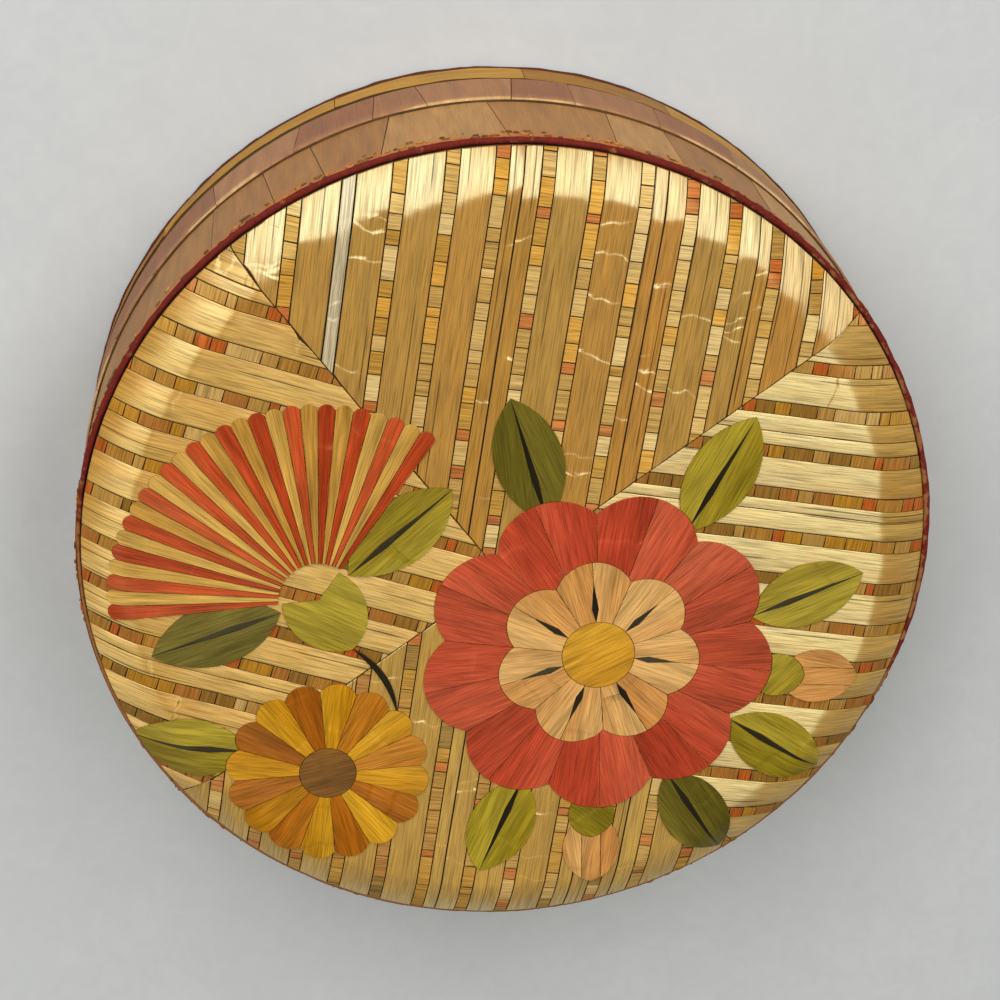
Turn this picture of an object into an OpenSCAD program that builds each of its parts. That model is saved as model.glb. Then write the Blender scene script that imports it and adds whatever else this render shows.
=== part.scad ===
// Round straw-marquetry trinket box: a card box with a lift-off lid, dressed in split and dyed straw.
// Millimetres, +Z up, origin at the centre of the underside. The straw ground's strips run along X and Y.

/* [Box] */
// Diameter over the straw on the base
box_d = 108; // [90:1:150]
// Height of the middle of the lid's red edging
edge_h = 34; // [30:0.5:60]
// Height of the seam between base and lid
seam_h = 16.8; // [13:0.1:20]
// Air under the lid's rim when the box is shut
seam_gap = 0.2; // [0.1:0.05:0.5]
// How much smaller in radius the lid is than the base
lid_step = 0.45; // [0:0.05:0.6]

/* [Card] */
// Thickness of the base's hoop
wall_t = 2; // [1:0.1:2.6]
// Thickness of the base's board
board_t = 2.2; // [1.4:0.1:4]
// Thickness of the lid's board under its edging
rim_t = 1; // [0.6:0.1:3]
// Thickness of the collar that the lid slides over
collar_t = 1.2; // [0.8:0.1:3]
// How far the collar stands up above the seam
collar_rise = 7; // [4:0.5:10]
// Radial clearance between the collar and the lid's lining
lid_fit = 0.3; // [0.15:0.05:0.5]
// Thickness of the paper linings
paper_t = 0.35; // [0.2:0.05:0.6]
// Film of glue between neighbours
glue = 0.03; // [0.02:0.01:0.08]

/* [Lid top] */
// Width of the shoulder round the lid's flat top
shoulder_w = 6; // [3:0.5:9]
// Slope of the shoulder's inner half, in degrees
soft_a = 17; // [8:1:24]
// Slope of the shoulder's outer half, in degrees
fall_a = 31; // [25:1:40]
// Diameter of the red edging cord
bead_d = 1; // [0.7:0.1:1.4]
// How far the edging stands out past the side straw
bead_proud = 0.2; // [0:0.05:0.4]
// Height of the base's edging above the table
bead_lift = 0.1; // [0.05:0.05:0.4]

/* [Straw] */
// Thickness of a flattened straw
straw_t = 0.28; // [0.2:0.02:0.4]
// Hairline between neighbouring straws
joint = 0.1; // [0.05:0.01:0.2]
// Usual length of a piece of straw on the sides
side_piece = 10; // [6:0.5:20]
// How uneven the pieces of straw on the sides are in length
piece_stray = 0.4; // [0:0.05:0.6]
// Steepest slant of the joints on the sides, in degrees
side_slant = 7; // [0:1:20]
// Height of the golden foot band on the base
foot_band = 5.2; // [3:0.1:7]
// Dark gap above the foot band
foot_gap = 0.5; // [0.2:0.1:1.5]
// Usual length of a piece of straw in the foot band
foot_piece = 24; // [12:1:40]

/* [Ground] */
// Centre of the mitred ground, across
ground_x = -0.8; // [-4:0.1:4]
// Centre of the mitred ground, up
ground_y = -1.3; // [-4:0.1:4]
// Distance between chequer bands
band_pitch = 5.72; // [4.5:0.01:8]
// Width of a chequer band
band_w = 1.6; // [1:0.1:2.4]
// First band from the ground's centre
band_first = 3.7; // [2:0.1:5]
// Usual length of one block in a chequer band
block_l = 2.6; // [2:0.1:6]
// How uneven the blocks are in length
block_stray = 0.8; // [0:0.05:0.85]
// How far a band may lie from its even place
band_stray = 0.3; // [0:0.05:0.5]
// Share of the wide straws that are pieced from two
pieced_share = 0.2; // [0:0.05:1]
// How far from its middle a pieced straw may be parted, as a share of its width
split_stray = 0.2; // [0:0.05:0.3]
// Lean of the west straws, in degrees
west_lean = -10; // [-15:1:15]
// Lean of the east straws, in degrees
east_lean = -1; // [-15:1:15]
// Northern band that plain straw fills instead, counted from the first
plain_band = -5; // [-6:1:6]

/* [Picture] */
// Diameter of the box for which the picture's sizes are given; it grows and shrinks with the box
drawn_d = 108; // [90:1:150]

/* [Bloom] */
// Centre of the bloom, across
bloom_x = 13; // [5:0.5:20]
// Centre of the bloom, up
bloom_y = -11; // [-18:0.5:-4]
// Number of outer petals
outer_petals = 9; // [6:1:12]
// Length of an outer petal
outer_len = 22.5; // [18:0.5:26]
// Width of an outer petal
outer_wid = 15; // [10:0.5:18]
// Number of inner petals
inner_petals = 7; // [5:1:9]
// Length of an inner petal
inner_len = 13; // [10:0.5:16]
// Width of an inner petal
inner_wid = 10; // [7:0.5:12]
// Radius of the bloom's heart
heart_r = 4.6; // [3:0.1:6]

/* [Fan flower] */
// Foot of the fan, across
fan_x = -23; // [-30:0.5:-20]
// Foot of the fan, up
fan_y = -7; // [-12:0.5:0]
// Radius of the fan
fan_r = 26; // [20:0.5:30]
// Radius at which the fan's straws start
fan_foot_r = 5; // [3:0.5:9]
// Number of straws in the fan
fan_straws = 27; // [15:2:35]
// Angle that one straw of the fan takes
fan_step = 4.8; // [3:0.1:6]
// Direction in which the fan opens
fan_turn = 128; // [110:1:140]
// Length of the fan's green cup
cup_len = 13; // [9:0.5:16]
// Width of the fan's green cup
cup_wid = 10; // [7:0.5:12]

/* [Daisy] */
// Centre of the daisy, across
daisy_x = -19; // [-24:0.5:-15]
// Centre of the daisy, up
daisy_y = -31.5; // [-36:0.5:-26]
// Number of petals on the daisy
daisy_petals = 16; // [10:2:20]
// Length of a daisy petal
daisy_len = 13; // [9:0.5:15]
// Width of a daisy petal
daisy_wid = 5; // [3.5:0.1:6]
// Radius of the daisy's heart
daisy_heart_r = 3.6; // [2.5:0.1:5]

/* [Leaves and buds] */
// Length of the leaves above the bloom and beside the fan
leaf_len = 17; // [12:0.5:22]
// Length of the leaves near the rim
short_leaf_len = 15; // [11:0.5:18]
// Width of the leaves
leaf_wid = 8.5; // [5:0.5:10]
// How far the foot of a leaf or bud lies in under its flower
tuck = 2.5; // [1:0.1:4]
// Widest part of a leaf's dark rib
rib_w = 0.8; // [0.4:0.1:1.2]
// Length of a bud
bud_len = 14; // [10:0.5:16]
// Width of a bud
bud_wid = 7.5; // [5:0.5:9]
// Length of the green cup that holds a bud
bud_cup_len = 7; // [5:0.5:9]
// Width of the green cup that holds a bud
bud_cup_wid = 6; // [4:0.5:8]
// Length of the dark vein at the foot of an inner petal
vein_len = 5.5; // [3:0.5:7]
// Length of the stem below the fan
stem_len = 11; // [8:0.5:14]
// Rise of the stem's curve
stem_bow = 1.6; // [1.2:0.1:2.5]

/* [Hidden] */
$fn = 96;

// Radii, from the straw on the base inwards to the linings, then out again to the lid
base_r = box_d / 2;
wall_r = base_r - straw_t - glue;
wall_in = wall_r - wall_t;
collar_r = wall_in - glue;
collar_in = collar_r - collar_t;
lining_r = collar_in - glue;
lining_in = lining_r - paper_t;
lid_r = base_r - lid_step;
lid_wall_r = lid_r - straw_t - glue;
lid_lining_in = collar_r + lid_fit;
lid_lining_r = lid_lining_in + paper_t;
lid_wall_in = lid_lining_r + glue;

// The edging cords lie in rebates round the two boards
bead_r = bead_d / 2;
base_bead_r = base_r + bead_proud - bead_r;
lid_bead_r = lid_r + bead_proud - bead_r;
base_rebate_r = base_bead_r - bead_r - glue;
rim_r = lid_bead_r - bead_r - glue;
plateau_r = rim_r - shoulder_w;
bend_r = rim_r - shoulder_w / 2;

// Heights, from the table up
board_z = paper_t + glue;
floor_z = board_z + board_t;
base_bead_z = bead_lift + bead_r;
base_rebate_z = base_bead_z + bead_r + glue;
foot_z = base_rebate_z + glue;
foot_top = foot_z + foot_band;
collar_top = seam_h + collar_rise;
lid_z = seam_h + seam_gap;
rebate_z = edge_h - bead_r - glue;
lid_board_z = rebate_z - rim_t;
rim_z = edge_h + bead_r - straw_t - glue;
bend_z = rim_z + shoulder_w / 2 * tan(fall_a);
plateau_z = bend_z + shoulder_w / 2 * tan(soft_a);

// A span that reaches past the lid from any point on it
reach = 2 * box_d;
// Half of a hairline, taken off each of two neighbours
cut = joint / 2;

// A number from 0 to 1 that looks irregular and is the same every time
function uneven(i, row) = let (v = 437.58 * (1 + sin(78.233 * i + 37.719 * row))) v - floor(v);

// Angles of the joints in a course: pieces of uneven length that close the circle
function piece_lengths(count, row) = [for (i = [0 : count - 1]) 1 + piece_stray * (2 * uneven(i, row) - 1)];
function total(list, n) = n <= 0 ? 0 : list[n - 1] + total(list, n - 1);

module ring(r_in, r_out, z_low, z_high) {
    translate([0, 0, z_low])
        difference() {
            cylinder(r = r_out, h = z_high - z_low);
            translate([0, 0, -1]) cylinder(r = r_in, h = z_high - z_low + 2);
        }
}

module disc(r, z_low, z_high) {
    translate([0, 0, z_low]) cylinder(r = r, h = z_high - z_low);
}

// One course of flattened straw round a wall, parted by slanting joints
module straw_course(r_in, z_low, z_high, piece, slant, row) {
    count = round(2 * PI * r_in / piece);
    lengths = piece_lengths(count, row);
    whole = total(lengths, count);
    high = z_high - z_low;
    difference() {
        ring(r_in, r_in + straw_t, z_low, z_high);
        for (i = [0 : count - 1])
            rotate(360 * total(lengths, i) / whole)
                translate([r_in + straw_t / 2, 0, z_low + high / 2])
                    rotate([slant * (2 * uneven(i, row + 1) - 1), 0, 0])
                        cube([6 * straw_t, joint, 2 * high], center = true);
    }
}

module edging(r, z) {
    rotate_extrude() translate([r, z]) circle(bead_r, $fn = 32);
}

// Half section of all that lies under a surface at the given lift above the card top
module under_top(lift) {
    polygon([
        [0, lid_board_z], [rim_r, lid_board_z], [rim_r, rim_z + lift],
        [bend_r, bend_z + lift], [plateau_r, plateau_z + lift], [0, plateau_z + lift]
    ]);
}

// Presses a flat cut-out over the lid's top, its underside at the given lift above the card
module lay(low) {
    intersection() {
        rotate_extrude()
            difference() {
                under_top(low + straw_t);
                under_top(low);
            }
        translate([0, 0, rim_z]) linear_extrude(plateau_z - rim_z + low + 2 * straw_t) children();
    }
}

// The picture lies on the ground straws and keeps its share of the lid
module lay_picture() {
    lay(2 * glue + straw_t) scale(box_d / drawn_d) children();
}

// Base

module underside_paper() {
    color("tan") disc(base_rebate_r, 0, paper_t);
}

module base_board() {
    color("burlywood")
        rotate_extrude()
            polygon([
                [0, board_z], [base_rebate_r, board_z], [base_rebate_r, base_rebate_z],
                [wall_r, base_rebate_z], [wall_r, floor_z], [0, floor_z]
            ]);
}

module base_wall() {
    color("burlywood") ring(wall_in, wall_r, floor_z + glue, seam_h);
}

module inner_collar() {
    color("wheat") ring(collar_in, collar_r, floor_z + glue, collar_top);
}

module base_floor_lining() {
    color("linen") disc(lining_in - glue, floor_z + glue, floor_z + glue + paper_t);
}

module base_wall_lining() {
    color("linen") ring(lining_in, lining_r, floor_z + glue, collar_top);
}

module base_side_straws() {
    color("tan") straw_course(wall_r + glue, foot_top + foot_gap, seam_h, side_piece, side_slant, 3);
}

module base_foot_straws() {
    color("goldenrod") straw_course(wall_r + glue, foot_z, foot_top, foot_piece, side_slant / 2, 7);
}

module base_edging() {
    color("darkred") edging(base_bead_r, base_bead_z);
}

// Lid

module lid_board() {
    color("burlywood")
        rotate_extrude() {
            under_top(0);
            translate([0, lid_board_z]) square([lid_wall_r, rebate_z - lid_board_z]);
        }
}

module lid_wall() {
    color("burlywood") ring(lid_wall_in, lid_wall_r, lid_z, lid_board_z - glue);
}

module lid_wall_lining() {
    color("linen") ring(lid_lining_in, lid_lining_r, lid_z, lid_board_z - glue);
}

module lid_ceiling_lining() {
    color("linen") disc(lid_lining_in - glue, lid_board_z - glue - paper_t, lid_board_z - glue);
}

module lid_side_straws() {
    color("tan") straw_course(lid_wall_r + glue, lid_z, rebate_z, side_piece, side_slant, 5);
}

module lid_edging() {
    color("darkred") edging(lid_bead_r, edge_h);
}

// Straw ground: four mitred fields, each drawn as the northern one and then turned or mirrored into place

// Largest lean that a field may be given, in degrees
most_lean = 15;

function band_at(k) = band_first + k * band_pitch + band_stray * (2 * uneven(k, 11) - 1);
last_band = ceil((rim_r - band_first) / band_pitch);

module field() {
    polygon([[0, joint], [reach, reach + joint], [-reach, reach + joint]]);
}

module strip(low, high) {
    translate([low, -reach]) square([high - low, 2 * reach]);
}

// A wide straw between two bands, whole or pieced from two
module wide_straw(k, row) {
    low = band_at(k) + band_w / 2 + cut;
    high = band_at(k + 1) - band_w / 2 - cut;
    split = low + (high - low) * (0.5 + split_stray * (2 * uneven(k, row + 1) - 1));
    if (uneven(k, row) < pieced_share) {
        strip(low, split - cut);
        strip(split + cut, high);
    } else {
        strip(low, high);
    }
}

module straws(lean, plain, row) {
    intersection() {
        field();
        rotate(lean)
            for (k = [-last_band : last_band]) {
                wide_straw(k, row);
                if (k == plain) strip(band_at(k) - band_w / 2 + cut, band_at(k) + band_w / 2 - cut);
            }
    }
}

// A chequer band is a narrow slice cut across straws that were glued side by side, so it is a row of blocks.
// The rows start a little below the mitre, which trims them.
function block_at(k, j) = block_l * (j + block_stray * uneven(j, k + 50));
function first_block(k) = floor(abs(band_at(k)) * tan(45 - most_lean) / block_l) - 2;
last_block = ceil(rim_r / block_l) + 1;

module chequer_band(k) {
    for (j = [first_block(k) : last_block])
        translate([band_at(k) - band_w / 2 + cut, block_at(k, j)])
            square([band_w - joint, block_at(k, j + 1) - block_at(k, j) - joint]);
}

module chequers(lean, plain) {
    intersection() {
        field();
        rotate(lean)
            for (k = [-last_band : last_band])
                if (k != plain) chequer_band(k);
    }
}

module north() {
    translate([ground_x, ground_y]) children();
}

module east() {
    translate([ground_x, ground_y]) mirror([1, -1, 0]) children();
}

module south() {
    translate([ground_x, ground_y]) rotate(180) children();
}

module west() {
    translate([ground_x, ground_y]) mirror([1, 1, 0]) children();
}

no_plain = 2 * last_band;

module ground_north_straws() {
    color("darkkhaki") lay(glue) north() straws(0, plain_band, 21);
}

module ground_east_straws() {
    color("darkkhaki") lay(glue) east() straws(-east_lean, no_plain, 23);
}

module ground_south_straws() {
    color("darkkhaki") lay(glue) south() straws(0, no_plain, 25);
}

module ground_west_straws() {
    color("darkkhaki") lay(glue) west() straws(-west_lean, no_plain, 27);
}

module ground_north_chequers() {
    color("orange") lay(glue) north() chequers(0, plain_band);
}

module ground_east_chequers() {
    color("orange") lay(glue) east() chequers(-east_lean, no_plain);
}

module ground_south_chequers() {
    color("orange") lay(glue) south() chequers(0, no_plain);
}

module ground_west_chequers() {
    color("orange") lay(glue) west() chequers(-west_lean, no_plain);
}

// Picture: a spray of flowers let into one layer, each piece cut to fit round those above it

// Petal with a round tip, from the origin along X
module petal(len, wid) {
    tip = wid / 2;
    middle = len - tip;
    side = asin(tip / middle);
    translate([middle, 0]) circle(tip);
    shoulder = middle - tip * sin(side);
    polygon([[0, 0], [shoulder, -tip * cos(side)], [shoulder, tip * cos(side)]]);
}

// Leaf with two points, from the origin along X
module leaf(len, wid) {
    curve = (len * len + wid * wid) / (4 * wid);
    intersection() {
        translate([len / 2, curve - wid / 2]) circle(curve);
        translate([len / 2, wid / 2 - curve]) circle(curve);
    }
}

// Slim straight-sided sliver, from the origin along X
module sliver(len, wid) {
    polygon([[0, 0], [len / 3, -wid / 2], [len, 0], [len / 3, wid / 2]]);
}

// Wedge of a full turn about the X axis, its sides drawn in by the hairline
module wedge(angle, gap) {
    polygon([[gap / (2 * sin(angle / 2)), 0], [reach, -reach * tan(angle / 2) + gap / 2],
             [reach, reach * tan(angle / 2) - gap / 2]]);
}

// A ring of petals that meet along straight joints, each of two straws parted down its middle
module petal_ring(count, len, wid) {
    for (i = [0 : count - 1])
        rotate(i * 360 / count)
            difference() {
                intersection() {
                    petal(len, wid);
                    wedge(360 / count, joint);
                }
                translate([0, -cut]) square([reach, joint]);
            }
}

module petal_shadow(count, len, wid) {
    for (i = [0 : count - 1]) rotate(i * 360 / count) petal(len + joint, wid + 2 * joint);
}

module at_bloom() {
    translate([bloom_x, bloom_y]) children();
}

module at_fan() {
    translate([fan_x, fan_y]) rotate(fan_turn) children();
}

module at_daisy() {
    translate([daisy_x, daisy_y]) children();
}

module bloom_shadow() {
    at_bloom() petal_shadow(outer_petals, outer_len, outer_wid);
}

module daisy_shadow() {
    at_daisy() petal_shadow(daisy_petals, daisy_len, daisy_wid);
}

module fan_straw(i, grow) {
    rotate((i - (fan_straws - 1) / 2) * fan_step)
        intersection() {
            petal(fan_r + grow, fan_r * sin(fan_step) + grow);
            wedge(fan_step, joint - 2 * grow);
        }
}

module fan_shadow() {
    at_fan() for (i = [0 : fan_straws - 1]) fan_straw(i, joint);
}

module fan_half(first) {
    lay_picture()
        difference() {
            at_fan()
                difference() {
                    for (i = [first : 2 : fan_straws - 1]) fan_straw(i, 0);
                    circle(fan_foot_r);
                }
            bloom_shadow();
            daisy_shadow();
        }
}

module bloom_outer_petals() {
    color("indianred")
        lay_picture() at_bloom()
            difference() {
                petal_ring(outer_petals, outer_len, outer_wid);
                petal_shadow(inner_petals, inner_len, inner_wid);
            }
}

module bloom_inner_petals() {
    color("sandybrown")
        lay_picture() at_bloom()
            difference() {
                petal_ring(inner_petals, inner_len, inner_wid);
                circle(heart_r + joint);
                veins(joint);
            }
}

// A dark vein runs out from the heart along the middle of each inner petal
module veins(grow) {
    for (i = [0 : inner_petals - 1])
        rotate(i * 360 / inner_petals)
            translate([heart_r + joint - grow, 0]) sliver(vein_len + 2 * grow, rib_w + grow);
}

module bloom_heart() {
    color("gold") lay_picture() at_bloom() circle(heart_r);
}

module fan_red_straws() {
    color("firebrick") fan_half(0);
}

module fan_pale_straws() {
    color("goldenrod") fan_half(1);
}

module cup_outline(grow) {
    at_fan() translate([fan_foot_r - joint - cup_len, 0]) leaf(cup_len + grow, cup_wid + grow);
}

module fan_cup() {
    color("olive")
        lay_picture()
            difference() {
                cup_outline(0);
                fan_shadow();
                bloom_shadow();
                daisy_shadow();
            }
}

module daisy_half(turn) {
    lay_picture() at_daisy() rotate(turn)
        difference() {
            for (i = [0 : daisy_petals / 2 - 1])
                rotate(i * 720 / daisy_petals)
                    intersection() {
                        petal(daisy_len, daisy_wid);
                        wedge(360 / daisy_petals, joint);
                    }
            circle(daisy_heart_r + joint);
        }
}

module daisy_gold_petals() {
    color("gold") daisy_half(0);
}

module daisy_amber_petals() {
    color("orange") daisy_half(360 / daisy_petals);
}

module daisy_heart() {
    color("saddlebrown") lay_picture() at_daisy() circle(daisy_heart_r);
}

// Leaves and buds spring from under the flowers.
// For each, the angle round the flower, the turn from that line, and for a leaf its length

dark_sprigs = [[118, -4, leaf_len], [306, 4, short_leaf_len]];
olive_sprigs = [
    [66, 4, leaf_len], [22, 8, short_leaf_len], [338, -4, short_leaf_len], [250, 6, short_leaf_len]
];
daisy_sprig = [168, 14, short_leaf_len];
bud_sprigs = [[358, 6], [277, 2]];
fan_half_angle = fan_straws * fan_step / 2;
fan_leaf_turn = fan_half_angle + 14;

module at_sprig(sprig, flower_len) {
    rotate(sprig[0]) translate([flower_len - tuck, 0]) rotate(sprig[1]) children();
}

// Leaf of two halves with a dark rib let in between them
module halved_leaf(len) {
    difference() {
        leaf(len, leaf_wid);
        translate([-joint, 0]) sliver(len + 2 * joint, rib_w + joint);
    }
}

module leaf_ribs() {
    at_bloom()
        for (sprig = concat(dark_sprigs, olive_sprigs)) at_sprig(sprig, outer_len) sliver(sprig[2], rib_w);
    at_daisy() at_sprig(daisy_sprig, daisy_len) sliver(daisy_sprig[2], rib_w);
    at_fan()
        for (side = [-1, 1]) rotate(side * fan_leaf_turn) translate([fan_foot_r, 0]) sliver(leaf_len, rib_w);
}

// A tapering stem from the origin along X that bows to one side
module stem() {
    outer = (stem_len * stem_len / 4 + stem_bow * stem_bow) / (2 * stem_bow);
    inner_bow = stem_bow - rib_w;
    inner = (stem_len * stem_len / 4 + inner_bow * inner_bow) / (2 * inner_bow);
    difference() {
        translate([stem_len / 2, stem_bow - outer]) circle(outer);
        translate([stem_len / 2, inner_bow - inner]) circle(inner);
    }
}

module bud_places() {
    at_bloom() for (sprig = bud_sprigs) at_sprig(sprig, outer_len) children();
}

module bud_cup(grow) {
    leaf(bud_cup_len + grow, bud_cup_wid + grow);
}

// The bud stands half out of its cup
module bud(grow) {
    translate([bud_cup_len / 2, 0]) leaf(bud_len - bud_cup_len / 2 + grow, bud_wid + grow);
}

module flower_shadows() {
    bloom_shadow();
    fan_shadow();
    daisy_shadow();
    cup_outline(2 * joint);
}

module bud_shadows() {
    bud_places() {
        bud(joint);
        bud_cup(joint);
    }
}

module dark_leaves() {
    color("darkgreen")
        lay_picture()
            difference() {
                union() {
                    at_bloom() for (sprig = dark_sprigs) at_sprig(sprig, outer_len) halved_leaf(sprig[2]);
                    at_fan() rotate(fan_leaf_turn) translate([fan_foot_r, 0]) halved_leaf(leaf_len);
                }
                flower_shadows();
                bud_shadows();
            }
}

module olive_leaves() {
    color("olivedrab")
        lay_picture()
            difference() {
                union() {
                    at_bloom() for (sprig = olive_sprigs) at_sprig(sprig, outer_len) halved_leaf(sprig[2]);
                    at_daisy() at_sprig(daisy_sprig, daisy_len) halved_leaf(daisy_sprig[2]);
                    at_fan() rotate(-fan_leaf_turn) translate([fan_foot_r, 0]) halved_leaf(leaf_len);
                }
                flower_shadows();
                bud_shadows();
            }
}

module dark_strokes() {
    color("black") {
        lay_picture()
            difference() {
                union() {
                    leaf_ribs();
                    at_fan() translate([fan_foot_r - cup_len, 0]) rotate(180) stem();
                }
                flower_shadows();
                bud_shadows();
            }
        lay_picture() at_bloom() veins(0);
    }
}

// A bud is three straws wide
module peach_buds() {
    color("peachpuff")
        lay_picture()
            difference() {
                bud_places()
                    difference() {
                        bud(0);
                        bud_cup(joint);
                        for (side = [-1, 1])
                            translate([0, side * bud_wid / 6]) square([reach, joint], center = true);
                    }
                flower_shadows();
            }
}

module bud_cups() {
    color("olive")
        lay_picture()
            difference() {
                bud_places() bud_cup(0);
                flower_shadows();
            }
}

underside_paper();
base_board();
base_wall();
inner_collar();
base_floor_lining();
base_wall_lining();
base_side_straws();
base_foot_straws();
base_edging();
lid_board();
lid_wall();
lid_wall_lining();
lid_ceiling_lining();
lid_side_straws();
lid_edging();
ground_north_straws();
ground_east_straws();
ground_south_straws();
ground_west_straws();
ground_north_chequers();
ground_east_chequers();
ground_south_chequers();
ground_west_chequers();
bloom_outer_petals();
bloom_inner_petals();
bloom_heart();
fan_red_straws();
fan_pale_straws();
fan_cup();
daisy_gold_petals();
daisy_amber_petals();
daisy_heart();
peach_buds();
bud_cups();
dark_leaves();
olive_leaves();
dark_strokes();
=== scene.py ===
import math
import random

import bmesh
import bpy
from mathutils import Matrix, Vector, noise


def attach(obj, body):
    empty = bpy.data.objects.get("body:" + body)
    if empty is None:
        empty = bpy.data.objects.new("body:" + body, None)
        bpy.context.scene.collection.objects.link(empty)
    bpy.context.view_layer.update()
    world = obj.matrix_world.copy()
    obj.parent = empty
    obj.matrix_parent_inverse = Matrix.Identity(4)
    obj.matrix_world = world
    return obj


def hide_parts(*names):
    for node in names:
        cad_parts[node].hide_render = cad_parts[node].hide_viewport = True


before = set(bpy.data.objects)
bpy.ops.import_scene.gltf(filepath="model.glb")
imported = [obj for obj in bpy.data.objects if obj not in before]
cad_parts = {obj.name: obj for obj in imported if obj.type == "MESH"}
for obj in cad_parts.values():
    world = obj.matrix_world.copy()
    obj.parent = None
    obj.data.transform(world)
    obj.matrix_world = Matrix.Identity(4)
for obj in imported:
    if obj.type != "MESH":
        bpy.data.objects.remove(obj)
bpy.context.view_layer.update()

# Card of the base
# A disc of grey-brown pasteboard, a hoop of the same board glued on it, and a thinner collar inside that
# stands up into the lid. The pieces are cut with a knife, so their edges are square and a little furry.

MM = 0.001
MERGE = 0.001 * MM
TURN_STEPS = 192
CUT_EDGE = 35
FOOT_REBATE = 0.75


def linear(code):
    """An sRGB hex colour as linear RGBA."""
    parts = [int(code[i:i + 2], 16) / 255 for i in (1, 3, 5)]
    return [c / 12.92 if c <= 0.04045 else ((c + 0.055) / 1.055) ** 2.4 for c in parts] + [1.0]


def add(tree, kind, inputs=None, **settings):
    """Adds a node with its settings, and its inputs as values or as other nodes' outputs."""
    made = tree.nodes.new(kind)
    for key, value in settings.items():
        setattr(made, key, value)
    for key, value in (inputs or {}).items():
        if isinstance(value, bpy.types.NodeSocket):
            tree.links.new(value, made.inputs[key])
        else:
            made.inputs[key].default_value = value
    return made


def fresh(name):
    """A new material and its node tree, still empty."""
    material = bpy.data.materials.new(name)
    material.use_nodes = True
    material.node_tree.nodes.clear()
    return material, material.node_tree


def span(node):
    """A CAD piece's least and greatest radius, and its lowest and highest point, to a micrometre."""
    points = [vert.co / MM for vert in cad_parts[node].data.vertices]
    radii = [point.xy.length for point in points]
    heights = [point.z for point in points]
    return [round(size, 3) for size in (min(radii), max(radii), min(heights), max(heights))]


def turned(corners):
    """A hoop or disc, spun from the corners of its half section."""
    bm = bmesh.new()
    ring = [bm.verts.new((r * MM, 0, z * MM)) for r, z in corners]
    pairs = [(a, b) for a, b in zip(ring, ring[1:] + ring[:1]) if a.co.x > 0 or b.co.x > 0]
    sides = [bm.edges.new(pair) for pair in pairs]
    bmesh.ops.spin(bm, geom=ring + sides, axis=(0, 0, 1), cent=(0, 0, 0), angle=2 * math.pi,
                   steps=TURN_STEPS, use_merge=True)
    bmesh.ops.remove_doubles(bm, verts=bm.verts, dist=MERGE)
    bmesh.ops.recalc_face_normals(bm, faces=bm.faces)
    return bm


def hoop(node):
    """A hoop of card or paper, as wide and high as its CAD piece."""
    inner, outer, low, high = span(node)
    return turned([(inner, low), (outer, low), (outer, high), (inner, high)])


def disc(node):
    """A disc of card or paper, as wide and thick as its CAD piece."""
    radius, low, high = span(node)[1:]
    return turned([(0, low), (radius, low), (radius, high), (0, high)])


def dress(bm, node, body, slot, material, crisp=None):
    """Puts a finished mesh in the place of its CAD node; edges over so many degrees stay crisp."""
    mesh = bpy.data.meshes.new("dressed_" + node)
    bm.to_mesh(mesh)
    bm.free()
    mesh.materials.append(material)
    mesh.shade_smooth()
    if crisp:
        mesh.set_sharp_from_angle(angle=math.radians(crisp))
    piece = bpy.data.objects.new("dressed_" + node, mesh)
    bpy.context.scene.collection.objects.link(piece)
    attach(piece, body)
    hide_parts(node)


def pulp(name, ground, fleck, fibre_mm, roughness):
    """Paper or board: matt, mottled, with flecks of fibre and a slight tooth."""
    blotch_mm = 8 * fibre_mm
    material, tree = fresh(name)
    place = add(tree, "ShaderNodeTexCoord")
    mottle = add(tree, "ShaderNodeTexNoise", {
        "Vector": place.outputs["Object"], "Scale": 1 / (blotch_mm * MM), "Detail": 3.0})
    fibre = add(tree, "ShaderNodeTexNoise", {
        "Vector": place.outputs["Object"], "Scale": 1 / (fibre_mm * MM), "Detail": 4.0, "Distortion": 1.5})
    share = add(tree, "ShaderNodeMath", {0: mottle.outputs["Fac"], 1: fibre.outputs["Fac"]},
                operation="MULTIPLY")
    shade = add(tree, "ShaderNodeMapRange", {"Value": share.outputs[0], "From Min": 0.12, "From Max": 0.42})
    colour = add(tree, "ShaderNodeMix", {0: shade.outputs[0], 6: linear(fleck), 7: linear(ground)},
                 data_type="RGBA")
    tooth = add(tree, "ShaderNodeBump", {
        "Height": fibre.outputs["Fac"], "Strength": 0.4, "Distance": 0.05 * MM})
    skin = add(tree, "ShaderNodeBsdfPrincipled", {
        "Base Color": colour.outputs[2], "Roughness": roughness, "Normal": tooth.outputs[0],
        "Specular IOR Level": 0.3})
    add(tree, "ShaderNodeOutputMaterial", {"Surface": skin.outputs[0]})
    return material


# Pasteboard is pulp pressed into thick sheets: dull, grey-brown, flecked.
pasteboard = pulp("grey-brown pasteboard", "#967E60", "#68533E", fibre_mm=0.5, roughness=0.85)
# The hoop's board is dark brown so that the gap above the foot band and the seam under the lid read as
# shadow: painted shade.
shade_dark_board = pulp("pasteboard darkened for painted shade", "#5C462E", "#3E2D1D", fibre_mm=0.5, roughness=0.8)
# The collar's card is thinner and finer, and shut away from the light, so it is still pale.
collar_board = pulp("thin buff card", "#D2B487", "#A78960", fibre_mm=0.4, roughness=0.8)
# Backing paper is plain wrapping paper: brown, matt, with coarse fibres.
backing_paper = pulp("brown backing paper", "#C7A77C", "#987953", fibre_mm=0.6, roughness=0.8)

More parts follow.
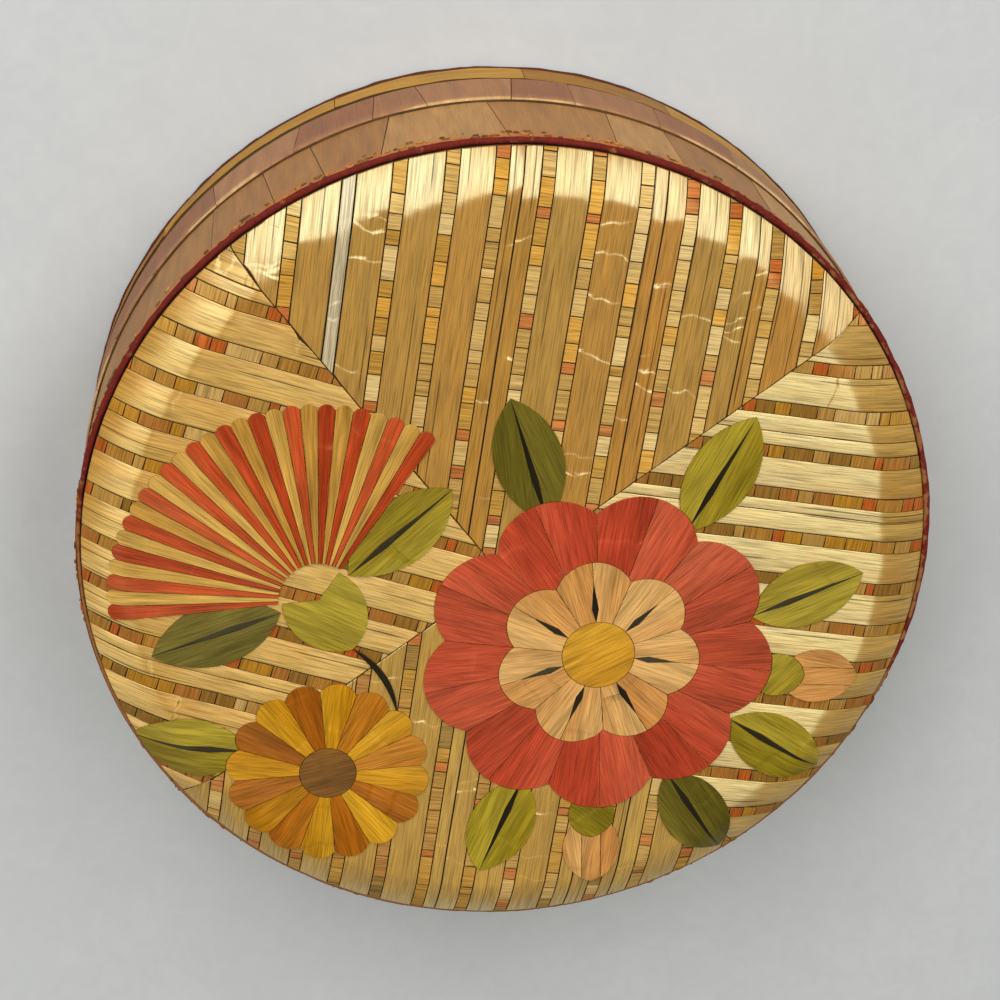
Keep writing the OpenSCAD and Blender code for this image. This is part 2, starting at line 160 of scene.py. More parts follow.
paper_radius = span("underside_paper")[1]
board_radius, board_low, board_high = span("base_board")[1:]
rebate_top = board_low + FOOT_REBATE
base_board = turned([(0, board_low), (paper_radius, board_low), (paper_radius, rebate_top),
                     (board_radius, rebate_top), (board_radius, board_high), (0, board_high)])
dress(disc("underside_paper"), "underside_paper", "base", "underside_paper", backing_paper, CUT_EDGE)
dress(base_board, "base_board", "base", "card", pasteboard, CUT_EDGE)
# The hoop takes the dark board: painted shade where it shows in the gaps.
dress(hoop("base_wall"), "base_wall", "base", "card", shade_dark_board, CUT_EDGE)
dress(hoop("inner_collar"), "inner_collar", "base", "collar_card", collar_board, CUT_EDGE)

# Lining of the base
# Off-white paper pasted inside the collar and on the floor of the box, with the slight tooth of laid paper.
# Nothing of it shows while the box is shut.

# Lining paper is laid from fine pulp: soft white, faintly cloudy, matt.
lining_paper = pulp("off-white lining paper", "#E2D8C2", "#CDBF9F", fibre_mm=0.7, roughness=0.75)

dress(disc("base_floor_lining"), "base_floor_lining", "base", "lining_paper", lining_paper, CUT_EDGE)
dress(hoop("base_wall_lining"), "base_wall_lining", "base", "lining_paper", lining_paper, CUT_EDGE)

# Side course of the base
# Split straw ironed flat and glued upright round the hoop, piece beside piece, with joints that lean. It
# has gone pinkish and dull with handling, and hairline splits run up it.

SIDE_INNER, SIDE_OUTER = span("base_side_straws")[:2]
STRAW = SIDE_OUTER - SIDE_INNER
SAME_LINE = math.radians(0.5)
SAME_PLANE = 1e-5
HAIR = 1e-4
SMALLEST_FACE = 0.001 * MM * MM
# The painted light across a straw raises its tone no further than this, short of the tones of worn straw.
UNWORN = 0.88


def islands(bm):
    """The connected groups of vertices, in the mesh's own order."""
    for start in bm.verts:
        start.tag = False
    for start in bm.verts:
        if start.tag:
            continue
        start.tag = True
        group = [start]
        for vert in group:
            for edge in vert.link_edges:
                other = edge.other_vert(vert)
                if not other.tag:
                    other.tag = True
                    group.append(other)
        yield group


def outlines(node, outward, spread):
    """The straws of a CAD node spread out flat: the corners of each."""
    bm = bmesh.new()
    bm.from_mesh(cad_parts[node].data)
    bmesh.ops.remove_doubles(bm, verts=bm.verts, dist=MERGE)
    hidden = [f for f in bm.faces if f.normal.dot(outward(f.calc_center_median())) < 0.5]
    bmesh.ops.delete(bm, geom=hidden, context="FACES")
    for group in islands(bm):
        spread(group)
    bm.normal_update()
    bmesh.ops.dissolve_limit(bm, angle_limit=SAME_LINE, use_dissolve_boundaries=False,
                             verts=bm.verts, edges=bm.edges, delimit=set())
    faces = [face for face in bm.faces if face.calc_area() > SMALLEST_FACE]
    found = [[Vector((v.co.x, v.co.y)) / MM for v in face.verts] for face in faces]
    bm.free()
    return found


def middle(corners):
    """The mean of a straw's corners."""
    return sum(corners, Vector((0, 0))) / len(corners)


def slice_at(bm, place, across):
    """Cuts all of a straw's faces along one line, and keeps both sides."""
    bmesh.ops.bisect_plane(bm, geom=bm.verts[:] + bm.edges[:] + bm.faces[:], dist=SAME_PLANE,
                           plane_co=place, plane_no=across)


def flat_straw(corners, grain, cell, rim):
    """One straw lying flat with its grain along Y: rounded at its rim, and cut into cells."""
    centre = middle(corners)
    turn = Matrix.Rotation(math.pi / 2 - grain, 2)
    bm = bmesh.new()
    face = bm.faces.new([bm.verts.new((*(turn @ (corner - centre)), 0)) for corner in corners])
    if face.normal.z < 0:
        bmesh.ops.reverse_faces(bm, faces=[face])
    round_off = min(rim, 0.6 * face.calc_area() / face.calc_perimeter())
    for ring in (round_off, 0.4 * round_off):
        bmesh.ops.inset_region(bm, faces=[face], thickness=ring, use_boundary=True, use_even_offset=True)
    for axis, step in enumerate(cell):
        low = min(v.co[axis] for v in bm.verts)
        high = max(v.co[axis] for v in bm.verts)
        count = math.ceil((high - low) / step)
        across = Vector((axis == 0, axis == 1, 0))
        for k in range(1, count):
            slice_at(bm, across * (low + (high - low) * k / count), across)
    return bm, centre, turn


def crack(bm, chance, depth):
    """Breaks a straw across its grain: a small step down at a wandering line, and a slow rise behind it."""
    rise = 3.6
    step = 0.15
    fade_out = 0.8
    bend_reach = 2.0
    low = min(v.co.y for v in bm.verts)
    high = max(v.co.y for v in bm.verts)
    half = max(abs(v.co.x) for v in bm.verts)
    at = low + (high - low) * chance.uniform(0.12, 0.88)
    across = Vector((chance.uniform(-0.35, 0.35), 1, 0)).normalized()
    side = chance.choice((-1, 1))
    stop = half * chance.uniform(0.2, 3)
    seed = 100 * chance.random()
    for place in (at, at + step):
        slice_at(bm, (0, place, 0), across)
    reach = min(bend_reach, (at - low) / 2, (high - at) / 2)
    for vert in bm.verts:
        past = (vert.co - Vector((0, at + step, 0))).dot(across)
        open_here = min(1, max(0, (stop - side * vert.co.x) / fade_out))
        if -HAIR < past < rise:
            vert.co.z -= depth * open_here * (1 - past / rise) ** 2
        bend = max(0, 1 - abs(past) / reach)
        vert.co.y += 0.5 * reach * bend * noise.noise(Vector((0.6 * vert.co.x, seed, 0)))


def lay_straws(node, outward, spread, settle, grain_of, habit):
    """All straws of a node as slabs on what they are glued to, each with its own tone and lie."""
    whole = bmesh.new()
    scratch = bpy.data.meshes.new("straw")
    for corners in outlines(node, outward, spread):
        centre = middle(corners)
        chance = random.Random(f"{node} {centre.x:.1f} {centre.y:.1f}")
        bm, centre, turn = flat_straw(corners, grain_of(corners), habit["cell"], habit["rim"])
        tone = bm.verts.layers.float.new("tone")
        stain = bm.verts.layers.float.new("rim")
        grain = bm.loops.layers.uv.new("grain")
        half = max(abs(v.co.x) for v in bm.verts)
        mark = habit["tone"](chance, corners)
        seed = 50 * chance.random()
        lean = habit["lean"] * chance.uniform(-1, 1)
        spring = chance.uniform(*habit["spring"])
        skew = habit["skew"] * chance.uniform(-1, 1)
        for vert in bm.verts:
            vert.co.x *= 1 - habit["shrunk"] / half
            off = vert.co.x / half
            bare = habit["bare"] and off < -0.5
            wave = noise.noise(Vector((0.12 * vert.co.x, vert.co.y / habit["wave_mm"], seed)))
            # Across the straw its tone rises on one side and falls on the other: painted light and shade.
            vert[tone] = min(max(mark, UNWORN), mark - habit["fade"] * off)
            vert[stain] = float(vert.is_boundary and not bare)
            if vert.is_boundary:
                vert.co.z -= habit["drop"]
            vert.co.z += lean * off - habit["curl"] * off ** 2 + habit["wave"] * wave + habit["lift"]
        while chance.random() < habit["cracks"]:
            crack(bm, chance, habit["crack"])
        for face in bm.faces:
            for loop in face.loops:
                loop[grain].uv = (loop.vert.co.x + seed, loop.vert.co.y + 7 * seed)
        under = bmesh.ops.extrude_face_region(bm, geom=bm.faces[:], use_keep_orig=True)["geom"]
        for vert in under:
            if isinstance(vert, bmesh.types.BMVert):
                vert.co.z = -STRAW
        bmesh.ops.recalc_face_normals(bm, faces=bm.faces)
        back = turn.inverted()
        for vert in bm.verts:
            flat = back @ vert.co.xy + centre
            wander = habit["skew"] * noise.noise(Vector((0.8 * vert.co.x, seed, 0)))
            vert.co = settle(flat.x, flat.y, vert.co.z, spring + skew * vert.co.x / half + wander)
        bm.to_mesh(scratch)
        bm.free()
        whole.from_mesh(scratch)
    bpy.data.meshes.remove(scratch)
    return whole


def straw(name, stops, interpolation="LINEAR", gloss=0.42, sheen=0.85, index=1.5, level=0.6, tint="#FFF0B4",
          edge="#3E2812", stained=0.8, streak=0.22, mottle=0.14, splits=0.15, wax=0.0, glue=None):
    """Flattened straw: a waxy skin with fine ribs along the grain, which smear a highlight across it.
    Real ribs and splits are finer than a pixel, so here they are as coarse as they need to be to show."""
    rib_mm = 0.16
    rib_length_mm = 36 * rib_mm
    patches_per_mm = (0.7, 0.09, 1)
    split_mm = 2.4
    split_narrow_mm = 0.05
    split_wide_mm = 0.11
    strain_mm = 2 * split_mm
    strain_length_mm = 14 * split_mm
    soak_mm = 5
    material, tree = fresh(name)
    grain = add(tree, "ShaderNodeUVMap", uv_map="grain")
    tone = add(tree, "ShaderNodeAttribute", attribute_name="tone")
    rim = add(tree, "ShaderNodeAttribute", attribute_name="rim")

    along = add(tree, "ShaderNodeMapping", {
        "Vector": grain.outputs[0], "Scale": (1 / rib_mm, 1 / rib_length_mm, 1)})
    ribs = add(tree, "ShaderNodeTexNoise", {
        "Vector": along.outputs[0], "Scale": 1.0, "Detail": 3.0, "Roughness": 0.6})
    lines = add(tree, "ShaderNodeMapRange", {
        "Value": ribs.outputs["Fac"], "From Min": 0.38, "From Max": 0.6,
        "To Min": 1 - streak, "To Max": 1 + streak / 2})
    wide = add(tree, "ShaderNodeMapping", {"Vector": grain.outputs[0], "Scale": patches_per_mm})
    cloud = add(tree, "ShaderNodeTexNoise", {"Vector": wide.outputs[0], "Scale": 1.0, "Detail": 3.0})
    patches = add(tree, "ShaderNodeMapRange", {
        "Value": cloud.outputs["Fac"], "From Min": 0.3, "From Max": 0.7,
        "To Min": 1 - mottle, "To Max": 1.1})

    sideways = add(tree, "ShaderNodeSeparateXYZ", {0: grain.outputs[0]})
    strands = add(tree, "ShaderNodeTexVoronoi", {"W": sideways.outputs["X"], "Scale": 1 / split_mm},
                  voronoi_dimensions="1D", feature="DISTANCE_TO_EDGE")
    far = add(tree, "ShaderNodeMapping", {
        "Vector": grain.outputs[0], "Scale": (1 / strain_mm, 1 / strain_length_mm, 1)})
    strain = add(tree, "ShaderNodeTexNoise", {"Vector": far.outputs[0], "Scale": 1.0, "Detail": 1.0})
    opened = add(tree, "ShaderNodeMapRange", {
        "Value": strain.outputs["Fac"], "From Min": 0.43, "From Max": 0.47,
        "To Min": 1 - splits, "To Max": 1.0})
    split = add(tree, "ShaderNodeMapRange", {
        "Value": strands.outputs["Distance"], "From Min": split_narrow_mm / split_mm,
        "From Max": split_wide_mm / split_mm, "To Min": opened.outputs[0], "To Max": 1.0})

    body = add(tree, "ShaderNodeValToRGB", {"Fac": tone.outputs["Fac"]})
    scale = body.color_ramp
    scale.interpolation = interpolation
    while len(scale.elements) < len(stops):
        scale.elements.new(1.0)
    for element, (place, code) in zip(scale.elements, stops):
        element.position = place
        element.color = linear(code)
    parted = add(tree, "ShaderNodeMath", {0: lines.outputs[0], 1: split.outputs[0]}, operation="MULTIPLY")
    shade = add(tree, "ShaderNodeMath", {0: parted.outputs[0], 1: patches.outputs[0]}, operation="MULTIPLY")
    ribbed = add(tree, "ShaderNodeVectorMath", {0: body.outputs[0], 1: shade.outputs[0]},
                 operation="MULTIPLY")
    skin_colour = ribbed.outputs[0]
    if glue:
        low, high, code = glue
        place = add(tree, "ShaderNodeTexCoord")
        height = add(tree, "ShaderNodeSeparateXYZ", {0: place.outputs["Object"]})
        blot = add(tree, "ShaderNodeTexNoise", {
            "Vector": place.outputs["Object"], "Scale": 1 / (soak_mm * MM), "Detail": 3.0})
        rise = add(tree, "ShaderNodeMapRange", {
            "Value": height.outputs["Z"], "From Min": low * MM, "From Max": high * MM,
            "To Min": -0.62, "To Max": 0.25})
        soak = add(tree, "ShaderNodeMath", {0: rise.outputs[0], 1: blot.outputs["Fac"]},
                   operation="ADD", use_clamp=True)
        soaked = add(tree, "ShaderNodeMix", {0: soak.outputs[0], 6: skin_colour, 7: linear(code)},
                     data_type="RGBA")
        skin_colour = soaked.outputs[2]
    stain = add(tree, "ShaderNodeMapRange", {
        "Value": rim.outputs["Fac"], "From Min": 0.1, "From Max": 0.8, "To Max": stained})
    colour = add(tree, "ShaderNodeMix", {0: stain.outputs[0], 6: skin_colour, 7: linear(edge)},
                 data_type="RGBA")

    rough = add(tree, "ShaderNodeMapRange", {
        "Value": cloud.outputs["Fac"], "From Min": 0.3, "From Max": 0.7,
        "To Min": gloss - 0.05, "To Max": gloss + 0.08})
    bald = add(tree, "ShaderNodeMapRange", {
        "Value": tone.outputs["Fac"], "From Min": 0.91, "From Max": 0.97,
        "To Min": level, "To Max": 0.2 * level})
    lit = add(tree, "ShaderNodeMath", {0: parted.outputs[0], 1: bald.outputs[0]}, operation="MULTIPLY")
    relief = add(tree, "ShaderNodeBump", {
        "Height": ribs.outputs["Fac"], "Strength": 0.25, "Distance": 0.02 * MM})
    across = add(tree, "ShaderNodeTangent", direction_type="UV_MAP", uv_map="grain")
    skin = add(tree, "ShaderNodeBsdfPrincipled", {
        "Base Color": colour.outputs[2], "Roughness": rough.outputs[0], "Normal": relief.outputs[0],
        "Tangent": across.outputs[0], "Anisotropic": sheen, "IOR": index,
        "Specular IOR Level": lit.outputs[0], "Specular Tint": linear(tint),
        "Coat Weight": wax, "Coat Roughness": 0.4})
    # The export drops the link to the specular level, and then takes this plain one.
    skin.inputs["Specular IOR Level"].default_value = level
    add(tree, "ShaderNodeOutputMaterial", {"Surface": skin.outputs[0]})
    return material


def on_wall(node):
    """How a course of straw lies on a wall: what faces out, how it unrolls, and how it wraps round."""
    radius = span(node)[1]

    def outward(point):
        return Vector((point.x, point.y, 0)).normalized()

    def spread(group):
        toward = sum((v.co for v in group), Vector((0, 0, 0)))
        start = math.atan2(toward.y, toward.x)
        for vert in group:
            turn = math.atan2(vert.co.y, vert.co.x) - start
            turn = (turn + math.pi) % (2 * math.pi) - math.pi
            vert.co = Vector(((start + turn) * radius * MM, vert.co.z, 0))

    def settle(along, up, out, spring):
        turn = along / radius
        far = (radius + out - spring) * MM
        return Vector((far * math.cos(turn), far * math.sin(turn), up * MM))

    return outward, spread, settle


def upright(corners):
    """Grain that runs up a wall."""
    return math.pi / 2


def any_tone(chance, corners):
    """Picks a straw's tone from all but the last tenth of its range."""
    return 0.9 * chance.random()


# A habit is how one kind of straw lies. Its mesh has cells of the size cell, and a rounded edge as wide as
# rim that falls by drop. It leans and curls across its grain, waves along it every wave_mm, is pressed in
# by lift and shrunk at each side. It springs off the bend under it, unevenly by skew. It cracks once more
# with the chance cracks, as deep as crack. Across it, its tone goes paler on one side and darker on the
# other: painted light and shade. A bare one leaves its paler side unstained.
SIDE_HABIT = {
    "cell": (1.4, 2.5), "rim": 0.1, "drop": 0.08, "lean": 0.03, "curl": 0.02, "wave": 0.05, "wave_mm": 6.0,
    "lift": -0.06, "shrunk": 0, "spring": (0, 0), "skew": 0, "cracks": 0, "crack": 0,
    "bare": False, "fade": 0, "tone": any_tone}
# Handled straw has lost its wax: dull and pinkish tan. The pale tone at the top of its scale is a painted
# highlight along the top edge.
base_side = straw("pinkish tan split straw", [
    (0.0, "#8D5B41"), (0.5, "#9C6949"), (0.9, "#A77853"), (0.97, "#D5AC78")],
    gloss=0.66, sheen=0.3, level=0.4, edge="#2C1B12", streak=0.1, mottle=0.22, splits=0.12)
SIDE_TOP = span("base_side_straws")[3]
HIGHLIGHT_BAND = 0.08
HIGHLIGHT_NOISE_MM = 14
HIGHLIGHT_TONE = 0.86

base_course = lay_straws("base_side_straws", *on_wall("base_side_straws"), upright, SIDE_HABIT)
tone = base_course.verts.layers.float["tone"]
rim = base_course.verts.layers.float["rim"]
# The top edge of each straw takes the pale end of its scale and no edge stain: a painted highlight.
for vert in base_course.verts:
    if vert.co.z > (SIDE_TOP - HIGHLIGHT_BAND) * MM:
        highlight_noise = noise.noise(vert.co / (HIGHLIGHT_NOISE_MM * MM))
        vert[tone] = HIGHLIGHT_TONE + min(1 - HIGHLIGHT_TONE, max(0, 0.1 + highlight_noise))
        vert[rim] = 0.0
dress(base_course, "base_side_straws", "base", "side_straw", base_side)

# Foot band of the base
# A strip of golden straw laid round the foot, lengthways, edge to edge with the course above it. It has
# shrunk away from that course on the west, where the hoop, darkened as painted shade, shows in the gap.


def level_grain(corners):
    """Grain that runs round a wall."""
    return 0.0


FOOT_HABIT = dict(SIDE_HABIT, cell=(1.4, 1.3), wave=0.1, wave_mm=2.5)
# Straw that is seldom touched keeps its yellow and some of its gloss, and splits lengthways as it dries.
foot_gold = straw("golden foot straw", [(0.0, "#98651F"), (0.5, "#B07D28"), (0.9, "#C69338")],
                  gloss=0.5, sheen=0.6, edge="#3A2212", streak=0.35, splits=0.4)
GAP_TURN = 2.7
GAP = 2.0
GAP_ALL_ROUND = 0.12
GAP_WANDER_MM = 9
STILL_GLUED = 4.4
OPENS_OVER = 2.0

foot_course = lay_straws("base_foot_straws", *on_wall("base_foot_straws"), level_grain, FOOT_HABIT)
for vert in foot_course.verts:
    turn = math.atan2(vert.co.y, vert.co.x)
    wander = GAP_ALL_ROUND * (1 + noise.noise(vert.co / (GAP_WANDER_MM * MM)))
    shrunk = GAP * max(0, math.cos(turn - GAP_TURN)) ** 3 + wander
    vert.co.z -= shrunk * MM * max(0, vert.co.z / MM - STILL_GLUED) / OPENS_OVER
dress(foot_course, "base_foot_straws", "base", "foot_straw", foot_gold)

# Edging of the base
# A dark red cord of twisted paper, laid in the rebate round the foot and glued. It is a little uneven, and
# rubbed thin and brown in places.

CORD_STEPS = 360
CORD_SIDES = 10
CORD_SLIM = 0.84
LUMP_MM = 1.4
SWELL_MM = 11
PRESSED = 0.2


def edging(node, rub_and_glint=0.0):
    """A slightly uneven cord laid in a ring, worn flat along the south, with a painted highlight along its
    upper inner side in the east.
    """
    inner, outer, low, high = span(node)
    radius = (inner + outer) / 2
    height = (low + high) / 2
    bm = bmesh.new()
    bmesh.ops.create_circle(bm, segments=CORD_SIDES, radius=(outer - inner) / 2 * MM)
    bmesh.ops.rotate(bm, verts=bm.verts, cent=(0, 0, 0), matrix=Matrix.Rotation(math.pi / 2, 3, "X"))
    bmesh.ops.translate(bm, verts=bm.verts, vec=(radius * MM, 0, height * MM))
    bmesh.ops.spin(bm, geom=bm.verts[:] + bm.edges[:], axis=(0, 0, 1), cent=(0, 0, 0), angle=2 * math.pi,
                   steps=CORD_STEPS, use_merge=True)
    bmesh.ops.remove_doubles(bm, verts=bm.verts, dist=MERGE)
    bmesh.ops.recalc_face_normals(bm, faces=bm.faces)
    bare = bm.verts.layers.float.new("bare")
    up = Vector((0, 0, 1))
    for vert in bm.verts:
        out = Vector((vert.co.x, vert.co.y, 0)).normalized()
        core = out * radius * MM + up * height * MM
        lumps = 0.22 * noise.noise(vert.co / (LUMP_MM * MM))
        swell = 0.3 * noise.noise(vert.co / (SWELL_MM * MM)) - 0.04
        south = min(1, max(0, 0.2 - 4 * math.sin(math.atan2(out.y, out.x) + 0.1)))
        thin = rub_and_glint * south
        # On the upper inner side in the east the brown mark is a painted highlight; along the south it is
        # wear.
        lit_inner_side = max(0, (vert.co - core).normalized().dot((up - out).normalized()))
        vert[bare] = max(thin, 0.6 * rub_and_glint * lit_inner_side * max(0, out.x + 0.1))
        girth = CORD_SLIM + min(1 - CORD_SLIM, lumps + swell)
        vert.co = core + (vert.co - core) * girth * (1 - 0.35 * thin)
        vert.co -= (out + up) * PRESSED * MM * thin
    return bm


def red_paper(name, red, dark, bare):
    """Dyed paper cord: dull, darker in its twist, worn through to brown in spots. Where the mesh marks it,
    the same brown is a painted highlight.
    """
    rub_mm = 1.4
    twist_mm = 0.5
    material, tree = fresh(name)
    place = add(tree, "ShaderNodeTexCoord")
    rub = add(tree, "ShaderNodeTexNoise", {
        "Vector": place.outputs["Object"], "Scale": 1 / (rub_mm * MM), "Detail": 5.0})
    twist = add(tree, "ShaderNodeTexNoise", {
        "Vector": place.outputs["Object"], "Scale": 1 / (twist_mm * MM), "Detail": 3.0})
    dyed = add(tree, "ShaderNodeMix", {0: twist.outputs["Fac"], 6: linear(dark), 7: linear(red)},
               data_type="RGBA")
    wear_and_glint = add(tree, "ShaderNodeAttribute", attribute_name="bare")
    spots = add(tree, "ShaderNodeMath", {0: wear_and_glint.outputs["Fac"], 1: 0.36, 2: rub.outputs["Fac"]},
                operation="MULTIPLY_ADD")
    through = add(tree, "ShaderNodeMapRange", {
        "Value": spots.outputs[0], "From Min": 0.63, "From Max": 0.75})
    colour = add(tree, "ShaderNodeMix", {0: through.outputs[0], 6: dyed.outputs[2], 7: linear(bare)},
                 data_type="RGBA")
    tooth = add(tree, "ShaderNodeBump", {
        "Height": twist.outputs["Fac"], "Strength": 0.5, "Distance": 0.08 * MM})
    skin = add(tree, "ShaderNodeBsdfPrincipled", {
        "Base Color": colour.outputs[2], "Roughness": 0.75, "Specular IOR Level": 0.2,
        "Normal": tooth.outputs[0]})
    add(tree, "ShaderNodeOutputMaterial", {"Surface": skin.outputs[0]})
    return material


# Paper cord at the foot has browned with dirt from whatever the box stands on.
foot_cord = red_paper("dark red paper cord", "#643018", "#3E1C10", "#8A5C34")
dress(edging("base_edging"), "base_edging", "base", "red_edging", foot_cord)

# Card of the lid
# The top is built up from layers of board to a flat middle with a sloping shoulder, on a hoop that slides
# over the collar. It lies a little below its CAD piece, clear of the straws that bend over it.

LID_REBATE = 1.0
RIM_SET_IN = 0.52
SHOULDER = 6.0
SHOULDER_FALL = 2.72
BEND_FALL = 0.917
SUNK = 0.14

LID_WALL_R, LID_UNDER, PLATEAU_Z = span("lid_board")[1:]
REBATE_Z = LID_UNDER + LID_REBATE
RIM_R = LID_WALL_R - RIM_SET_IN
BEND_R = RIM_R - SHOULDER / 2
PLATEAU_R = RIM_R - SHOULDER
RIM_Z = PLATEAU_Z - SHOULDER_FALL
BEND_Z = PLATEAU_Z - BEND_FALL

# Where straw is laid on it the board has drunk in glue, so it shows dark brown between the straws.
glued_board = pulp("glue-soaked pasteboard", "#543A20", "#33200F", fibre_mm=0.5, roughness=0.7)

lid_board = turned([(0, LID_UNDER), (LID_WALL_R, LID_UNDER), (LID_WALL_R, REBATE_Z), (RIM_R, REBATE_Z),
                    (RIM_R, RIM_Z - SUNK), (BEND_R, BEND_Z - SUNK), (PLATEAU_R, PLATEAU_Z - SUNK),
                    (0, PLATEAU_Z - SUNK)])
dress(lid_board, "lid_board", "lid", "card", glued_board, CUT_EDGE)
dress(hoop("lid_wall"), "lid_wall", "lid", "card", pasteboard, CUT_EDGE)

# Lining of the lid
# The same off-white paper as in the base, pasted under the board as a disc and round the inside of the
# hoop as a strip. It shows only when the lid is off.

dress(disc("lid_ceiling_lining"), "lid_ceiling_lining", "lid", "lining_paper", lining_paper, CUT_EDGE)
dress(hoop("lid_wall_lining"), "lid_wall_lining", "lid", "lining_paper", lining_paper, CUT_EDGE)

# Side course of the lid
# Upright split straw like that on the base, a little yellower. Glue has soaked into it under the edging,
# and crumbs of dried glue and straw stick there.

LID_SIDE_R = span("lid_side_straws")[1]
SOAKED_FROM = 30.2
CRUMBS_TOP = 33.4
CRUMBS_DEEP = 2.6
CRUMBS = 760
CRUMB_SIZES = ((0.08, 0.2), (0.1, 0.75), (0.1, 0.5))

# Handled straw again, with less dirt in it: dull tan, going orange where it is soaked with glue.
lid_side = straw("tan split straw", [(0.0, "#9A6A3E"), (0.5, "#AB7B46"), (0.9, "#B98B56")],
                 gloss=0.62, sheen=0.3, level=0.4, edge="#2C1B12", streak=0.1, mottle=0.26, splits=0.12,
                 glue=(SOAKED_FROM, CRUMBS_TOP, "#B66413"))
lid_course = lay_straws("lid_side_straws", *on_wall("lid_side_straws"), upright, SIDE_HABIT)
tone = lid_course.verts.layers.float["tone"]
rim = lid_course.verts.layers.float["rim"]
chance = random.Random("crumbs")
for _ in range(CRUMBS):
    turn = 2 * math.pi * chance.random()
    crowd = noise.noise(Vector((3 * math.cos(turn), 3 * math.sin(turn), 0)))
    if crowd < chance.uniform(-0.5, 0.4):
        continue
    size = Vector([chance.uniform(*limits) for limits in CRUMB_SIZES])
    height = CRUMBS_TOP - CRUMBS_DEEP * chance.random() ** 2
    place = Matrix.Rotation(turn, 4, "Z") @ Matrix.Translation(Vector((LID_SIDE_R, 0, height)) * MM)
    bits = bmesh.ops.create_icosphere(lid_course, subdivisions=1, radius=MM)["verts"]
    bmesh.ops.transform(lid_course, matrix=place @ Matrix.Diagonal((*size, 1)), verts=bits)
    dirt = chance.choice((0.0, 0.6, 1.0))
    for vert in bits:
        vert[tone] = 0.9
        vert[rim] = dirt
dress(lid_course, "lid_side_straws", "lid", "side_straw", lid_side)

# Edging of the lid
# The same paper cord round the top, where it covers the ends of the ground straws. Fingers have rubbed it
# flat and brown along the south. The brown along its upper inner side in the east is a painted highlight.

# Paper cord that is kept clean is still a deep red, darker in its twist.
lid_cord = red_paper("red paper cord", "#7E2216", "#420F0A", "#8A5C34")
dress(edging("lid_edging", rub_and_glint=1.0), "lid_edging", "lid", "red_edging", lid_cord)

# Ground of wide straws
# Four mitred fields of wide split straw, waxy side up, glued to the board and pressed over its shoulder.
# Each straw has its own gold, and some have cracked across where they were pressed flat.

GROUND_TOP = span("ground_north_straws")[3]
CREASE = 0.5
WORN_WEST = -27
WORN_EAST = -24.5
WORN_SOUTH = 20
WORN_TONE = 1.0
# The way that the straws of each field run, in degrees from east.
FIELDS = {"north": 90, "east": -1, "south": 90, "west": -10}


def lid_height(x, y, spring):
    """Height of the ground's face: flat, then a shoulder that starts with a crease and falls ever more
    steeply to the rim. A stiff straw springs off the board and creases further out."""
    start = PLATEAU_R + spring
    way = max(0, (math.hypot(x, y) - start) / (RIM_R - start))
    return GROUND_TOP - SHOULDER_FALL * (CREASE * way + (1 - CREASE) * way ** 2)


def on_lid(lift):
    """How straw lies on the lid: what faces up, how it flattens, and how it bends over the shoulder."""

    def outward(point):
        return Vector((0, 0, 1))

    def spread(group):
        for vert in group:
            vert.co.z = 0

    def settle(x, y, out, spring):
        return Vector((x, y, lid_height(x, y, spring) + lift + out)) * MM

    return outward, spread, settle


def lying_at(degrees):
    """Grain that runs one way in all pieces."""
    return lambda corners: math.radians(degrees)


def ground_tone(low, high):
    """Picks a straw's gold from a part of the range; the narrow one in the north is worn to grey."""

    def tone(chance, corners):
        sides = [corner.x for corner in corners]
        worn = WORN_WEST < min(sides) and max(sides) < WORN_EAST and middle(corners).y > WORN_SOUTH
        return WORN_TONE if worn else chance.uniform(low, high)

    return tone


NORTH_HABIT = {
    "cell": (0.9, 0.45), "rim": 0.24, "drop": 0.09, "lean": 0.04, "curl": 0.03, "wave": 0.07,
    "wave_mm": 7.0, "lift": -0.05, "shrunk": 0.05, "spring": (0.2, 1.9), "skew": 0.7, "cracks": 0.62,
    "crack": 0.06, "bare": False, "fade": 0, "tone": ground_tone(0.1, 0.75)}
SOUTH_HABIT = dict(NORTH_HABIT, spring=(0, 0.5), skew=0.3, tone=ground_tone(0.75, 0.9))
# The west field takes the deep end of the gold scale and the east field the pale end, and both are graded
# paler to the north: painted shade and painted light, for the sheen that each field shows.
WEST_HABIT = dict(SOUTH_HABIT, wave=0.09, wave_mm=5.0, curl=0.1, cracks=0.5, crack=0.05, bare=True,
                  fade=0.15, shrunk=0.02, tone=ground_tone(0.0, 0.2))
EAST_HABIT = dict(WEST_HABIT, tone=ground_tone(0.6, 0.88))
HABITS = {"north": NORTH_HABIT, "east": EAST_HABIT, "south": SOUTH_HABIT, "west": WEST_HABIT}

GOLDS = [(0.0, "#C08718"), (0.35, "#CA861C"), (0.65, "#C28E30"), (0.9, "#D4A54A"), (0.96, "#C4B492")]
WAXY = {"gloss": 0.48, "sheen": 0.95, "index": 2.5, "stained": 1.0, "streak": 0.44, "splits": 0.75}
# Rye straw has a hard skin full of silica under its wax: gold, with a broad pale highlight across the ribs.
ground_gold = straw("golden rye straw", GOLDS, level=1.0, tint="#F8FFCE", wax=1.0, **WAXY)
# A shaded copy of the same straw for the west field, with a weaker, yellower highlight: painted shade for
# the duller sheen that the light gives there.
west_shaded_gold = straw("golden rye straw, shaded copy", GOLDS, level=0.92, tint="#FFF5B2", wax=0.85, **WAXY)

for field, degrees in FIELDS.items():
    node = f"ground_{field}_straws"
    course = lay_straws(node, *on_lid(0), lying_at(degrees), HABITS[field])
    dress(course, node, "lid", "ground_straw", west_shaded_gold if field == "west" else ground_gold)

